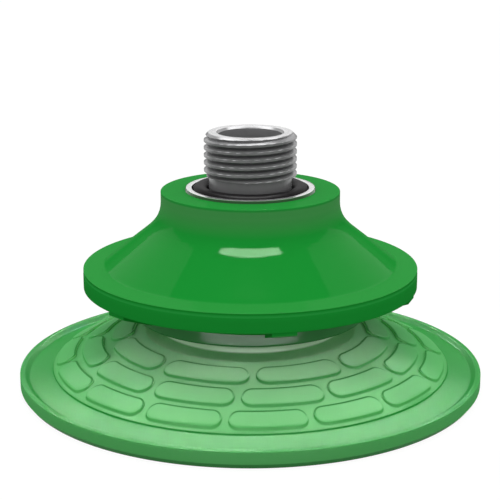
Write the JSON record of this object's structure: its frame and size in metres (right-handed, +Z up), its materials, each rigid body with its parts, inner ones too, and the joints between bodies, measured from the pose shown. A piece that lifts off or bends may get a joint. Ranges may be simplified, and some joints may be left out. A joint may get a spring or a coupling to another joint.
{
  "type": "bellows suction cup",
  "caption": "Round bellows suction cup: a stiff moulded bellows on a threaded metal fitting, with a soft domed lip under its flange that seals on a sheet and holds it by vacuum.",
  "frame": {"origin": "centre of the sealing edge, on the plane that the lip rests on", "axes": "+Z up along the cup's axis, from the lip towards the thread; the picture's view looks along +Y"},
  "size_m": [0.0846, 0.0846, 0.0464],
  "materials": {
    "fitting_metal": "turned, bright",
    "seal_rubber": "matte black",
    "stiff_moulding": "smooth, glossy green",
    "soft_moulding": "satin, slightly translucent pale green"
  },
  "bodies": {
    "head": {"threaded_fitting": "fitting_metal", "seal_ring": "seal_rubber"},
    "bellows": {"upper_bellows": "stiff_moulding"},
    "lip": {"sealing_lip": "soft_moulding"}
  },
  "joints": [
    {"name": "upper_fold", "type": "slide", "parent": "head", "child": "bellows", "axis": [0, 0, 1], "range_m": [0, 0.0045], "stiffness_N_per_m": 5000, "deforming": ["upper_bellows"]},
    {"name": "lower_fold", "type": "slide", "parent": "bellows", "child": "lip", "axis": [0, 0, 1], "range_m": [0, 0.0055], "stiffness_N_per_m": 2500, "deforming": ["sealing_lip"]}
  ]
}
